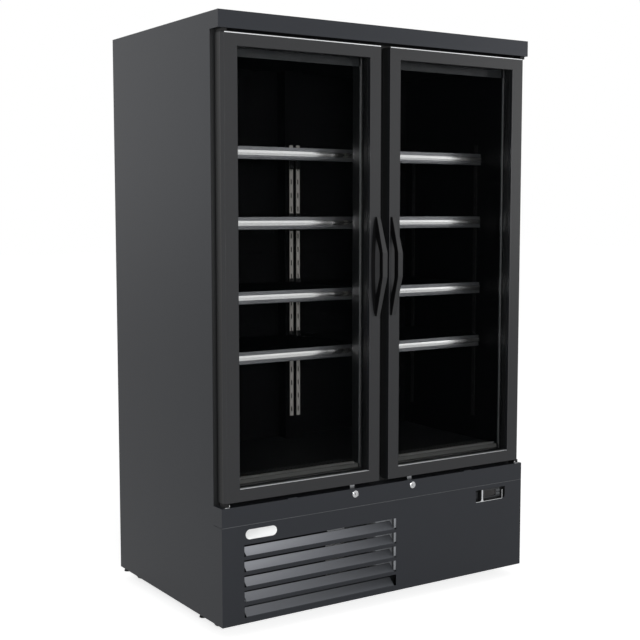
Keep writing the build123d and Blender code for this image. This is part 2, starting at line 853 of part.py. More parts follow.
def compressor():
    """Welded steel shell on its foot plate, with grommets, terminal cover and pipe stubs."""
    y = front + compressor_depth
    radius = compressor_diameter / 2
    low = pan_top + 20
    high = low + compressor_height
    outline = [
        Line((0, low), (radius * 0.7, low)),
        ThreePointArc((radius * 0.7, low), (radius * 0.93, low + radius * 0.1), (radius, low + radius * 0.35)),
        Line((radius, low + radius * 0.35), (radius, high - radius * 0.5)),
        ThreePointArc((radius, high - radius * 0.5), (radius * 0.8, high - radius * 0.14),
                      (radius * 0.3, high)),
        Line((radius * 0.3, high), (0, high)),
        Line((0, high), (0, low)),
    ]
    shell = Pos(compressor_x, y, 0) * revolve(Plane.XZ * make_face(outline), Axis.Z, 360)
    weld = rod((compressor_x, y, low + compressor_height / 2), "z", 6, compressor_diameter + 6)
    plate = slab((compressor_x - 100, compressor_x + 100), (y - 55, y + 55), (low - 6, low + 1))
    cover = slab((compressor_x - 28, compressor_x + 28), (y - radius - 20, y - radius + 8),
                 (low + 40, low + 100))
    body = join([shell, weld, plate, cover])
    for side in (-1, 1):
        for end in (-1, 1):
            foot = rod((compressor_x + side * 84, y + end * 40, pan_top), "z", low - 5 - pan_top, 22)
            body = body + foot
        stub = rod((compressor_x + side * 34, y + radius - 30, low + 48), "y", 70, 9)
        body = body + stub
    return body


def evaporating_tray():
    """Open tray for the meltwater, at the rear of the pan."""
    y_far = back - sheet - 30
    x = (-tray_width / 2, tray_width / 2)
    y = (y_far - tray_depth, y_far)
    z = (pan_top, pan_top + tray_height)
    hollow = slab((x[0] + tray_wall, x[1] - tray_wall), (y[0] + tray_wall, y[1] - tray_wall),
                  (z[0] + tray_wall, z[1] + 1))
    return slab(x, y, z) - hollow


def electrical_box():
    """Folded steel box with a lapped lid, behind the right end of the louvres."""
    x = (box_left, box_left + box_width)
    y = (front + box_front, front + box_front + box_depth)
    z = (pan_top, pan_top + box_height)
    body = slab(x, (y[0] + 12, y[1]), z)
    lid = slab((x[0] - 1.5, x[1] + 1.5), (y[0], y[0] + 12), (z[0], z[1] + 1.5))
    lid = chamfer(edges_at(lid, "y", y[0]), 1.5)
    return body + lid


def evaporator_coil():
    """Evaporator under the floor deck, on the chamber's floor."""
    x = (-evaporator_width / 2, evaporator_width / 2)
    y = (front + evaporator_front, front + evaporator_front + evaporator_depth)
    return finned_coil(x, y, (chamber_floor, chamber_floor + evaporator_height), fin_count)


def blower_cheek():
    """Half the distance between the two end plates of the blower."""
    return blower_length / 2 + 4


def evaporator_fan_cowl():
    """End plates, curved rear guide and motor of the cross-flow fan under the rear duct."""
    x = blower_cheek()
    y = front + blower_depth
    z = bottom + blower_height
    radius = blower_diameter / 2
    plate = slab((x, x + 2), (y - radius - 6, y + radius + 6), (chamber_floor, z + radius + 6))
    bore = rod((-2 * x, y, z), "x", 4 * x, fan_shaft + 2 * running_clearance)
    motor = rod((x + 2, y, z), "x", 60, 56)
    guide_out = rod((-x, y, z), "x", 2 * x, blower_diameter + 12)
    guide_in = rod((-x - 1, y, z), "x", 2 * x + 2, blower_diameter + 8)
    keep = slab((-x, x), (y, y + 2 * radius), (z - 2 * radius, z + radius / 2))
    guide = (guide_out - guide_in) & keep
    return join([plate, other_side(plate), guide, motor]) - bore


def evaporator_fan():
    """Cross-flow rotor: long blades between end discs on one shaft."""
    y = front + blower_depth
    z = bottom + blower_height
    reach = blower_length / 2
    blade_ring = blower_diameter / 2 - 5
    shaft_reach = blower_cheek() + 12
    rotor = rod((-reach, 0, 0), "x", 3, blower_diameter) + rod((reach - 3, 0, 0), "x", 3, blower_diameter)
    rotor = rotor + rod((-3, 0, 0), "x", 6, blower_diameter)
    for place in range(blower_blades):
        blade = Pos(0, blade_ring, 0) * Rot(35, 0, 0) * Box(blower_length, 8, 1.5)
        rotor = rotor + Rot(place * 360 / blower_blades, 0, 0) * blade
    rotor = rotor + rod((-shaft_reach, 0, 0), "x", 2 * shaft_reach, fan_shaft)
    return Pos(0, y, z) * rotor


def castor_places():
    """Swivel axes of the four castors, by name."""
    places = {}
    for end, along in (("front", castor_front), ("rear", castor_rear)):
        places[end + "_left"] = (castor_side - half, front + along)
        places[end + "_right"] = (half - castor_side, front + along)
    return places


def foot_places():
    """Axes of the four levelling feet, by name."""
    places = {}
    for end, along in (("front", foot_front), ("rear", foot_rear)):
        places[end + "_left"] = (foot_side - half, front + along)
        places[end + "_right"] = (half - foot_side, front + along)
    return places


def crown_levels():
    """Bottom and top of a castor's swivel crown."""
    high = pan_top - pan_sheet - castor_pad_thickness - face_clearance
    return high - 13.4, high


def base_pan():
    """Pan that carries the unit, with castor pads and kingpins and the nuts of the feet."""
    inside = half - sheet
    y = (front + pan_front, back - sheet)
    low = pan_top - pan_sheet
    pan = slab((-inside, inside), y, (low, pan_top))
    rim = slab((-inside, pan_sheet - inside), y, (low, pan_top + pan_rim))
    rear = slab((-inside, inside), (y[1] - pan_sheet, y[1]), (low, pan_top + pan_rim))
    flange = slab((-inside, inside), (y[0], y[0] + pan_sheet), (bottom, pan_top))
    pan = join([pan, rim, other_side(rim), rear, flange])
    crown = crown_levels()
    for x, place in castor_places().values():
        reach = castor_pad / 2
        pad = slab((x - reach, x + reach), (place - reach, place + reach), (low - castor_pad_thickness, low))
        pin = rod((x, place, crown[0] - face_clearance - 2), "z", low - crown[0] + 1, castor_kingpin)
        head = rod((x, place, crown[0] - face_clearance - 3), "z", 3, castor_kingpin + 6)
        pan = pan + pad + pin + head
    for x, place in foot_places().values():
        boss = rod((x, place, low - foot_boss_height), "z", foot_boss_height + 1, foot_boss)
        bore = rod((x, place, low - 50), "z", 100, foot_stud + 2 * running_clearance)
        pan = pan + boss - bore
    return pan


def castor_fork(x, y):
    """Swivel fork: round crown on the kingpin, two trailing legs and the axle they hold."""
    low, high = crown_levels()
    axle_y = y + castor_trail
    axle_z = castor_wheel / 2
    inner = castor_tread / 2 + 1.5
    crown = rod((x, y, low), "z", high - low, castor_crown)
    crown = chamfer(edges_at(crown, "z", low), 2)
    bore = rod((x, y, low - 1), "z", high - low + 2, castor_kingpin + 2 * running_clearance)
    outline = Polyline((y - 14, high - 4), (y + 14, high - 4), (axle_y + 9, axle_z + 3), (axle_y + 5, axle_z - 7),
                       (axle_y - 5, axle_z - 7), (axle_y - 9, axle_z + 3), (y - 14, low), close=True)
    leg = extrude(Plane.YZ * make_face(outline), castor_leg)
    axle = rod((x - inner - castor_leg - 1, axle_y, axle_z), "x", 2 * (inner + castor_leg + 1), castor_axle)
    left = Pos(x - inner - castor_leg, 0, 0) * leg
    right = Pos(x + inner, 0, 0) * leg
    return join([crown, left, right]) - bore + axle


def castor_wheel_shape(x, y):
    """Wheel with a rounded tread, dished sides and a hub."""
    radius = castor_wheel / 2
    half_tread = castor_tread / 2
    bore = castor_axle / 2 + running_clearance
    outline = [
        Line((bore, -half_tread - 1), (9, -half_tread - 1)),
        Line((9, -half_tread - 1), (11, 3 - half_tread)),
        Line((11, 3 - half_tread), (17, 3 - half_tread)),
        Line((17, 3 - half_tread), (18, -half_tread)),
        Line((18, -half_tread), (radius - 3, -half_tread)),
        ThreePointArc((radius - 3, -half_tread), (radius, 0), (radius - 3, half_tread)),
        Line((radius - 3, half_tread), (18, half_tread)),
        Line((18, half_tread), (17, half_tread - 3)),
        Line((17, half_tread - 3), (11, half_tread - 3)),
        Line((11, half_tread - 3), (9, half_tread + 1)),
        Line((9, half_tread + 1), (bore, half_tread + 1)),
        Line((bore, half_tread + 1), (bore, -half_tread - 1)),
    ]
    wheel = revolve(Plane.XZ * make_face(outline), Axis.Z, 360)
    return Pos(x, y + castor_trail, radius) * Rot(0, 90, 0) * wheel


def levelling_foot(x, y):
    """Screwed foot, drawn up until its pad is just below the base, clear of the floor."""
    low = bottom - foot_drop
    pad = rod((x, y, low), "z", foot_pad_height, foot_pad)
    pad = chamfer(edges_at(pad, "z", low + foot_pad_height), 2.5)
    stud = rod((x, y, low + foot_pad_height), "z", pan_top + pan_rim - low - foot_pad_height, foot_stud)
    return pad + stud


def door_hinges():
    """Bottom plates with their pins on the lock strip, top brackets with theirs under the fascia."""
    pieces = []
    side = hinge_plate_width / 2
    y = (door_face + 0.5, door_face + 0.5 + hinge_plate_depth)
    low_pin = door_bottom + hinge_pin_reach
    plate = slab((hinge_x - side, hinge_x + side), y, (strip_top, door_bottom - face_clearance))
    plate = chamfer([e for e in plate.edges() if e.length > 11 and e.length < 12.5], 3)
    pin = rod((hinge_x, hinge_y, strip_top), "z", low_pin - strip_top, hinge_pin)
    pieces.append(plate + chamfer(edges_at(pin, "z", low_pin), 1))
    bracket = slab((hinge_x - side, hinge_x + side), y, (door_top + face_clearance, fascia_bottom))
    high_pin = rod((hinge_x, hinge_y, door_top - hinge_pin_reach), "z",
                   fascia_bottom - door_top + hinge_pin_reach, hinge_pin)
    pieces.append(bracket + high_pin)
    return group(pieces + [other_side(piece) for piece in pieces])


def door_front_frame():
    """Left door's face frame: bevelled hinge edge, fine chamfers round both outlines."""
    plan = Polyline((door_outer, rear_frame_face), (door_outer, door_face + hinge_bevel),
                    (door_outer + hinge_bevel, door_face), (door_inner, door_face),
                    (door_inner, rear_frame_face), close=True)
    frame = Pos(0, 0, door_bottom) * extrude(Plane.XY * make_face(plan), door_height())
    frame = frame - slab((glass_left, glass_right), (door_face - 1, rear_frame_face + 1),
                         (glass_bottom, glass_top))
    sharp = [e for e in edges_at(frame, "y", door_face)
             if not all(abs(v.X - door_outer - hinge_bevel) < 0.01 for v in e.vertices())]
    return chamfer(sharp, edge_chamfer)


def door_height():
    """Height of a door."""
    return door_top - door_bottom


def pane_limits(grow):
    """Limits of a pane along X and Z, grown by a clearance."""
    bite = rear_frame_lip + pane_bite - grow
    x = (glass_left - bite, glass_right + bite)
    z = (glass_bottom - bite, glass_top + bite)
    return x, z


def pane_depths():
    """Depths of the two panes of the left door."""
    outer = rear_frame_face + face_clearance
    inner = outer + pane + pane_gap
    return (outer, outer + pane), (inner, inner + pane)


def door_rear_frame():
    """Black frame behind the face frame, grooved for the panes, bored for the pins, slotted for the bolt."""
    lip = rear_frame_lip
    frame = ring((door_outer, door_inner), (rear_frame_face, door_back), (door_bottom, door_top),
                 (glass_left - lip, glass_right + lip), (glass_bottom - lip, glass_top + lip))
    x, z = pane_limits(-pane_clearance)
    for near, far in pane_depths():
        frame = frame - slab(x, (near - pane_clearance, far + pane_clearance), z)
    hole = hinge_pin + 2 * running_clearance
    deep = hinge_pin_reach + 1
    frame = frame - rod((hinge_x, hinge_y, door_bottom - 1), "z", deep + 1, hole)
    frame = frame - rod((hinge_x, hinge_y, door_top - deep), "z", deep + 1, hole)
    reach = bolt_width / 2 + bolt_slot_side
    bolt = bolt_plane()
    slot = slab((lock_x - reach, lock_x + reach), (bolt[0] - 1, bolt[1] + bolt_slot_rear),
                (door_bottom - 1, door_bottom + bolt_slot_depth))
    return frame - slot


def door_glass():
    """Outer and inner pane of the left door."""
    x, z = pane_limits(0)
    return group([slab(x, limits, z) for limits in pane_depths()])


def door_gasket():
    """Magnetic gasket: a wide base on the door and a narrower head that meets the cabinet."""
    x = (door_outer + gasket_hinge_inset, door_inner - gasket_inset)
    z = (door_bottom + gasket_inset, door_top - gasket_inset)
    base = gasket_ring(x, z, (door_back, door_back + gasket_base), gasket_width)
    step = (gasket_width - gasket_head) / 2
    inner_x = (x[0] + step, x[1] - step)
    inner_z = (z[0] + step, z[1] - step)
    head = gasket_ring(inner_x, inner_z, (door_back + gasket_base, frame_face - face_clearance), gasket_head)
    return base + head


def gasket_ring(x, z, y, across):
    """One rectangular loop of the gasket."""
    return ring(x, y, z, (x[0] + across, x[1] - across), (z[0] + across, z[1] - across))


def door_handle():
    """Bow grip: its side outline crossed with its front outline, round along its front edges."""
    x = door_inner - grip_from_meeting_edge
    middle = bottom + grip_height
    high = middle + grip_up
    low = middle - grip_down
    knee = grip_flat / 2
    out = front - handle_reach
    back_face = out + grip_thickness
    end = door_face - grip_end_thickness
    side = Polyline((door_face, high), (end, high), (out, middle + knee), (out, middle - knee), (end, low),
                    (door_face, low), (door_face, low + grip_foot), (back_face, middle - knee),
                    (back_face, middle + knee), (door_face, high - grip_foot), close=True)
    bow = Pos(x - grip_width / 2, 0, 0) * extrude(Plane.YZ * make_face(side), grip_width)
    wide = grip_width / 2
    narrow = grip_end_width / 2
    face = Polyline((x - narrow, high), (x + narrow, high), (x + wide, middle + knee), (x + wide, middle - knee),
                    (x + narrow, low), (x - narrow, low), (x - wide, middle - knee), (x - wide, middle + knee),
                    close=True)
    outline = Pos(0, door_face + 1, 0) * extrude(Plane.XZ * make_face(face), handle_reach + door_reveal + 5)
    grip = bow & outline
    faces = [f for f in grip.faces() if f.normal_at().Y < -0.5]
    eased = [e for face in faces for e in face.edges() if abs(e.vertices()[0].Z - e.vertices()[1].Z) > 1]
    return fillet(eased, grip_edge)


def write_cabinet():
    """Outer shell, fronts and insulated box."""
    left = side_panel()
    save(left, "left_side_panel")
    save(other_side(left), "right_side_panel")
    save(top_panel(), "top_panel")
    save(back_panel(), "back_panel")
    save(top_fascia(), "top_fascia")
    save(lock_strip(), "lock_strip")
    save(lower_front_panel(), "lower_front_panel")
    save(control_pocket(), "control_pocket")
    save(rocker_switch(), "rocker_switch")
    save(temperature_controller(), "temperature_controller")
    save(insulated_body(), "insulated_body")
    save(inner_liner(), "inner_liner")
    save(front_frame(), "front_frame")
    save(centre_mullion(), "centre_mullion")
    save(door_hinges(), "door_hinges")


def write_interior():
    """What stands inside the insulated box."""
    save(rear_air_wall(), "rear_air_wall")
    save(shelf_rails(), "shelf_rails")
    save(shelf_clips(), "shelf_clips")
    save(floor_deck(), "floor_deck")
    save(group([lamp_housing(), other_side(lamp_housing())]), "lamp_housings")
    save(group([lamp(), other_side(lamp())]), "strip_lamps")
    shelves = [wire_shelf(level) for level in shelf_levels]
    save(group(shelves), "left_shelves")
    save(group([other_side(shelf) for shelf in shelves]), "right_shelves")
    strips = [price_strip(level) for level in shelf_levels]
    save(group(strips + [other_side(strip) for strip in strips]), "price_strips")
    save(evaporator_coil(), "evaporator_coil")
    save(evaporator_fan_cowl(), "evaporator_fan_cowl")
    save(evaporator_fan(), "evaporator_fan")


def write_base():
    """Cooling unit and running gear."""
    save(base_pan(), "base_pan")
    save(condenser(), "condenser_coil")
    save(condenser_fan_cowl(), "condenser_fan_cowl")
    save(condenser_fan(), "condenser_fan")
    save(compressor(), "compressor")
    save(evaporating_tray(), "evaporating_tray")
    save(electrical_box(), "electrical_box")
    for name, (x, y) in castor_places().items():
        save(castor_fork(x, y), name + "_castor_fork")
        save(castor_wheel_shape(x, y), name + "_castor_wheel")
    for name, (x, y) in foot_places().items():
        save(levelling_foot(x, y), name + "_levelling_foot")


def write_doors():
    """Both doors and their locks; the right ones are the left ones mirrored."""
    pieces = {
        "door_front_frame": door_front_frame(),
        "door_rear_frame": door_rear_frame(),
        "door_glass": door_glass(),
        "door_gasket": door_gasket(),
        "door_handle": door_handle(),
        "lock_plug": lock_plug_shape(),
        "lock_bolt": lock_bolt(),
    }
    for name, shape in pieces.items():
        save(shape, "left_" + name)
        save(other_side(shape), "right_" + name)


os.makedirs("parts", exist_ok=True)
write_cabinet()
write_interior()
write_base()
write_doors()
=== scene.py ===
import math

import bmesh
import bpy
from mathutils import Matrix, Vector


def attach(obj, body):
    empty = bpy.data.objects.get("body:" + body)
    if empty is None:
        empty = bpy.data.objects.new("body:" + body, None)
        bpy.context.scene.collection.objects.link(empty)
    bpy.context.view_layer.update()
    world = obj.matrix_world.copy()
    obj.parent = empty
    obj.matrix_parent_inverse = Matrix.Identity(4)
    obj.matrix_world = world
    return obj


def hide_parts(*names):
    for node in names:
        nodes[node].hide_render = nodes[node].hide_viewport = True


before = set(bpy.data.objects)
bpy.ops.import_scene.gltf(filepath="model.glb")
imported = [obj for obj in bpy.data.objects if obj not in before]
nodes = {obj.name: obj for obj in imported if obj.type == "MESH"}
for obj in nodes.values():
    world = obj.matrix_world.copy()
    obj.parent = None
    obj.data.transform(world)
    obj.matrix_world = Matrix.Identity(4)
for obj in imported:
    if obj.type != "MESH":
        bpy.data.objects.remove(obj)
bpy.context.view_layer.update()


# Outer sheets: the sides, top, fascia and lock strip are folded from 1.2 mm steel and powder coated black.
# The powder melts to an orange peel about a millimetre across, whose soft sheen brightens at a grazing view.
def colour(code):
    """sRGB hex to the linear RGBA that a socket takes."""
    parts = [int(code[i:i + 2], 16) / 255 for i in (0, 2, 4)]
    return tuple(c / 12.92 if c <= 0.04045 else ((c + 0.055) / 1.055) ** 2.4 for c in parts) + (1.0,)


def add(tree, kind, **values):
    """A shader node with its settings, and its sockets set by value or linked by output."""
    made = tree.nodes.new("ShaderNode" + kind)
    for key, value in values.items():
        if not key[0].isupper():
            setattr(made, key, value)
            continue
        socket = made.inputs[key.replace("_", " ")]
        if isinstance(value, bpy.types.NodeSocket):
            tree.links.new(value, socket)
        else:
            socket.default_value = value
    return made


def surface(name, code, roughness, metal=0.0, grain=700.0, relief=0.0001, mottle=0.06,
            stretch=(1, 1, 1), edge=0.0006, spread=0.05, second=None, **extra):
    """Finish with a fine grain in its relief and gloss, a slow drift of colour and softened edges."""
    made = bpy.data.materials.new(name)
    made.use_nodes = True
    tree = made.node_tree
    shader = tree.nodes["Principled BSDF"]
    place = add(tree, "TexCoord").outputs["Object"]
    stretched = add(tree, "Mapping", Vector=place, Scale=stretch).outputs["Vector"]
    fine = add(tree, "TexNoise", Vector=stretched, Scale=grain, Detail=4.0, Roughness=0.6)
    slow = add(tree, "TexNoise", Vector=stretched, Scale=grain / 90, Detail=5.0, Roughness=0.55)
    base = colour(code)
    other = colour(second) if second else tuple(c * (1 - 2 * mottle) for c in base[:3]) + (1.0,)
    blend = add(tree, "MapRange", Value=slow.outputs["Fac"], From_Min=0.35, From_Max=0.65)
    mix = add(tree, "MixRGB", Fac=blend.outputs["Result"], Color1=base, Color2=other)
    rough = add(tree, "MapRange", Value=fine.outputs["Fac"], From_Min=0.3, From_Max=0.7,
                To_Min=max(0.02, roughness - spread), To_Max=min(1.0, roughness + spread))
    tree.links.new(mix.outputs["Color"], shader.inputs["Base Color"])
    tree.links.new(rough.outputs["Result"], shader.inputs["Roughness"])
    round_edge = add(tree, "Bevel", samples=4, Radius=edge)
    bump = add(tree, "Bump", Strength=0.5, Distance=relief, Height=fine.outputs["Fac"],
               Normal=round_edge.outputs["Normal"])
    tree.links.new(bump.outputs["Normal"], shader.inputs["Normal"])
    shader.inputs["Metallic"].default_value = metal
    for key, value in extra.items():
        shader.inputs[key.replace("_", " ")].default_value = value
    return made


def dress(made, *names):
    """Give CAD nodes a material."""
    for name in names:
        mesh = nodes[name].data
        mesh.materials.clear()
        mesh.materials.append(made)


powder_tint = (0.82, 0.87, 0.97, 1)
powder = surface("powder_black", "151619", 0.42, grain=1100.0, relief=0.00012, mottle=0.04,
                 Specular_Tint=powder_tint)
dress(powder, "left_side_panel", "right_side_panel", "top_panel", "top_fascia", "lock_strip")


# Back: plain galvanised sheet with a fine spangle, left bare because it faces a wall.
# Pan-head screws hold it along its edges.
def piece(name, body, build, made, replaced=(), smooth=35):
    """New object from a bmesh, riding on a body."""
    bm = bmesh.new()
    build(bm)
    bmesh.ops.recalc_face_normals(bm, faces=bm.faces)
    mesh = bpy.data.meshes.new(name)
    bm.to_mesh(mesh)
    bm.free()
    thing = bpy.data.objects.new(name, mesh)
    bpy.context.scene.collection.objects.link(thing)
    mesh.materials.append(made)
    if smooth:
        for face in mesh.polygons:
            face.use_smooth = True
        mesh.set_sharp_from_angle(angle=math.radians(smooth))
    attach(thing, body)
    if replaced:
        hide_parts(*replaced)
    return thing


def turned(bm, profile, centre, axis, steps=32):
    """Turned form: (radius, height) points spun about Z, then laid along an axis."""
    lay = {"x": Matrix.Rotation(math.pi / 2, 4, "Y"), "y": Matrix.Rotation(-math.pi / 2, 4, "X"),
           "-y": Matrix.Rotation(math.pi / 2, 4, "X"), "z": Matrix.Identity(4)}[axis]
    before = set(bm.verts)
    ring = [bm.verts.new((radius, 0, high)) for radius, high in profile]
    edges = [bm.edges.new(pair) for pair in zip(ring, ring[1:])]
    bmesh.ops.spin(bm, geom=ring + edges, cent=(0, 0, 0), axis=(0, 0, 1), angle=2 * math.pi, steps=steps,
                   use_merge=True, use_normal_flip=False, use_duplicate=False)
    bmesh.ops.remove_doubles(bm, verts=[v for v in bm.verts if v not in before], dist=0.000001)
    bmesh.ops.transform(bm, matrix=Matrix.Translation(centre) @ lay,
                        verts=[v for v in bm.verts if v not in before])


def back_screws(bm):
    head = [(0, 0.0018), (0.0022, 0.0016), (0.0036, 0.0009), (0.0040, 0), (0, 0)]
    for z in (0.07, 0.30, 0.68, 1.06, 1.44, 1.835):
        for x in (-0.570, 0.570):
            turned(bm, head, (x, 0.3930, z), "-y", 16)
    for x in (-0.30, 0.0, 0.30):
        for z in (0.07, 1.835):
            turned(bm, head, (x, 0.3930, z), "-y", 16)


galvanised = surface("galvanised_sheet", "8b8f93", 0.38, metal=1.0, grain=160.0, relief=0.00003, mottle=0.16,
                     edge=0.0004)
zinc = surface("zinc_plate", "a9abae", 0.34, metal=1.0, grain=420.0, relief=0.00003, mottle=0.1)
dress(galvanised, "back_panel")
piece("back_screws", "cabinet", back_screws, zinc)


# Insulation: rigid foam poured between the outer sheets and the liner, where it sets and bonds to both.
# It is pale yellow where it shows behind the sheets.
foam = surface("rigid_foam", "cdbd8e", 0.85, grain=320.0, relief=0.0008, mottle=0.1)
dress(foam, "insulated_body")


# Liner and air wall: folded coated sheet in a dead matt black, which shows next to no reflection.
# The air wall is fixed in front of the liner's back and leaves a duct behind it.
liner = surface("liner_black", "030304", 0.6, grain=900.0, relief=0.00008, Specular_IOR_Level=0.06)
dress(liner, "inner_liner", "rear_air_wall")


# Floor deck: black sheet whose colour turns grey towards its front edge, painted light for the lamp light that
# falls on it through the door. Its upright lip has a zigzag of near-white pressed ridges for the return air.
def rod(bm, start, end, radius, sides=12):
    """Round bar between two points."""
    start, end = Vector(start), Vector(end)
    turn = (end - start).to_track_quat("Z", "Y").to_matrix().to_4x4()
    bmesh.ops.create_cone(bm, cap_ends=True, cap_tris=False, segments=sides, radius1=radius, radius2=radius,
                          depth=(end - start).length, matrix=Matrix.Translation((start + end) / 2) @ turn)


def block(bm, low, high, round_by=0.0, segments=2):
    """Bar between two corners, with rounded edges."""
    made = bmesh.ops.create_cube(bm, size=1.0)["verts"]
    size = [h - l for l, h in zip(low, high)]
    for v in made:
        v.co = Vector([l + (c + 0.5) * s for l, c, s in zip(low, v.co, size)])
    if round_by:
        bmesh.ops.bevel(bm, geom=list({e for v in made for e in v.link_edges}), offset=round_by,
                        segments=segments, profile=0.5, affect="EDGES", clamp_overlap=True, material=-1)


def deck_lip(bm):
    for x in (-0.5340, 0.0750):
        block(bm, (x, -0.2893, 0.4695), (x + 0.4590, -0.2883, 0.4800), 0.0002)


def deck_ridges(bm):
    for sign in (-1, 1):
        for k in range(96):
            x = sign * (0.0765 + 0.0047 * k)
            z = 0.4765 if k % 2 else 0.4725
            rod(bm, (x - 0.0015, -0.2896, z - 0.0008), (x + 0.0015, -0.2896, z + 0.0008), 0.0008, 6)


deck_black = surface("deck_black", "0b0b0c", 0.55, grain=700.0, relief=0.00006, Specular_IOR_Level=0.2)
tree = deck_black.node_tree
shader = tree.nodes["Principled BSDF"]
# Painted light: grey at the front edge, fading to the black about 95 mm further back.
spot = add(tree, "SeparateXYZ", Vector=add(tree, "TexCoord").outputs["Object"])
painted_light_ramp = add(tree, "MapRange", Value=spot.outputs["Y"], From_Min=-0.2950, From_Max=-0.2000, To_Min=1.0, To_Max=0.0)
painted_light_tone = add(tree, "MixRGB", Fac=painted_light_ramp.outputs["Result"], Color2=colour("565756"),
            Color1=shader.inputs["Base Color"].links[0].from_socket)
tree.links.new(painted_light_tone.outputs["Color"], shader.inputs["Base Color"])
ridge_white = surface("near_white_ridge_steel", "f0f1ef", 0.45, grain=500.0, relief=0.00002)
dress(deck_black, "floor_deck")
piece("deck_lip", "cabinet", deck_lip, liner, smooth=0)
piece("deck_ridges", "cabinet", deck_ridges, ridge_white)


# Front frame and mullion: black moulding round both openings. A thin grey strip down the right inner edge of each
# opening is a painted highlight, where that edge catches the light.
def opening_edge_highlights(bm):
    for x in (-0.0637, 0.5363):
        block(bm, (x - 0.0009, -0.3035, 0.4720), (x + 0.0009, -0.2990, 1.7430), 0.0003)


moulded = surface("moulded_black", "101112", 0.45, grain=600.0, relief=0.00006, mottle=0.04)
edge_highlight_grey = surface("edge_grey_painted_highlight", "5b5d5f", 0.4, grain=600.0, relief=0.00003)
dress(moulded, "front_frame", "centre_mullion")
piece("opening_edge_highlights", "cabinet", opening_edge_highlights, edge_highlight_grey)


# Lamps: extruded housings under the ceiling in dark anodised aluminium, with a grey diffusing cover.
# They're unlit, so the cover is no brighter than the metal round it.
anodised = surface("dark_anodised", "2c2e30", 0.42, metal=0.3, grain=500.0, relief=0.00003, stretch=(0.2, 1, 1))
diffuser = surface("grey_diffuser", "34363a", 0.45, grain=400.0, relief=0.00002, mottle=0.02)
dress(anodised, "lamp_housings")
dress(diffuser, "strip_lamps")


# Shelf rails: slotted steel channels, zinc plated on the centre column and painted black at the sides.
# The clips and hangers that hook into them are blacked.
shelf_levels = (0.8495, 1.038, 1.270, 1.488)


def rail_hangers(bm):
    for level in shelf_levels:
        for x in (-0.014, 0.014):
            block(bm, (x - 0.0085, 0.1886, level - 0.052), (x + 0.0085, 0.1906, level + 0.011), 0.0006)


rail_zinc = surface("rail_zinc", "b6b3ae", 0.5, metal=0.25, grain=420.0, relief=0.00002)
tree = rail_zinc.node_tree
shader = tree.nodes["Principled BSDF"]
spot = add(tree, "SeparateXYZ", Vector=add(tree, "TexCoord").outputs["Object"])
central = add(tree, "Math", operation="COMPARE")
tree.links.new(spot.outputs["X"], central.inputs[0])
central.inputs[1].default_value = 0.0
central.inputs[2].default_value = 0.1
coat = add(tree, "MixRGB", Fac=central.outputs[0], Color1=colour("050505"),
           Color2=shader.inputs["Base Color"].links[0].from_socket)
tree.links.new(coat.outputs["Color"], shader.inputs["Base Color"])
dress(rail_zinc, "shelf_rails")
blacked = surface("blacked_steel", "0b0b0c", 0.5, grain=500.0, relief=0.00004, Specular_IOR_Level=0.25)
dress(blacked, "shelf_clips")
piece("rail_hangers", "cabinet", rail_hangers, blacked)


# Shelves: 4 mm steel wires welded on three cross bars and coated black.
# They replace the square wires of the CAD.
def wire_decks(side, sign):
    def build(bm):
        for level in shelf_levels:
            for k in range(27):
                x = sign * (0.0275 + 0.494 * k / 26)
                rod(bm, (x, -0.2015, level - 0.0022), (x, 0.1885, level - 0.0022), 0.002, 8)
            for y in (-0.1985, -0.0065, 0.1855):
                rod(bm, (sign * 0.0255, y, level - 0.0071), (sign * 0.5235, y, level - 0.0071), 0.003, 10)
    piece(side + "_wire_decks", "cabinet", build, liner, [side + "_shelves"])


wire_decks("left", -1)
wire_decks("right", 1)


# Price strips: grey extruded channels along each shelf's front with a lip below, holding a bowed insert of
# satin foil that mirrors the light as one long band.
def prism(bm, outline, axis, start, end):
    """Closed outline drawn out along X, Y or Z."""
    place = {"x": lambda a, b: (start, a, b), "y": lambda a, b: (a, start, b),
             "z": lambda a, b: (a, b, start)}[axis]
    face = bm.faces.new([bm.verts.new(place(a, b)) for a, b in outline])
    drawn = bmesh.ops.extrude_face_region(bm, geom=[face])["geom"]
    bmesh.ops.translate(bm, vec=[(end - start) * (axis == k) for k in "xyz"],
                        verts=[g for g in drawn if isinstance(g, bmesh.types.BMVert)])


strip_starts = (-0.524, 0.025)
strip_length = 0.499


def strip_channels(bm):
    lip = [(-0.2050 - 0.0018 * math.sin(math.pi * k / 8), -0.0330 - 0.0058 * k / 8) for k in range(9)]
    section = [(-0.2021, 0), (-0.2046, 0), (-0.2050, -0.0110), (-0.2046, -0.0112), (-0.2046, -0.0328)] + lip
    for level in shelf_levels:
        for x in strip_starts:
            prism(bm, [(y, level + z) for y, z in section + [(-0.2021, -0.0390)]], "x", x, x + strip_length)


def strip_foils(bm):
    bow = [(-0.2056 - 0.0014 * math.sin(math.pi * k / 12), -0.0114 - 0.0150 * k / 12) for k in range(13)]
    for level in shelf_levels:
        for x in strip_starts:
            prism(bm, [(y, level + z) for y, z in [(-0.2044, -0.0114)] + bow + [(-0.2044, -0.0264)]], "x",
                  x, x + strip_length)


channel_grey = surface("channel_grey", "7b7d80", 0.28, metal=0.9, grain=1500.0, relief=0.0, mottle=0.01,
                       stretch=(0.05, 1, 1), spread=0.01)
foil = surface("satin_foil", "fcfdfd", 0.20, metal=1.0, grain=1500.0, relief=0.0, mottle=0.01, edge=0.0001,
               spread=0.01)
piece("strip_channels", "cabinet", strip_channels, channel_grey, ["price_strips"], smooth=25)
piece("strip_foils", "cabinet", strip_foils, foil, smooth=25)
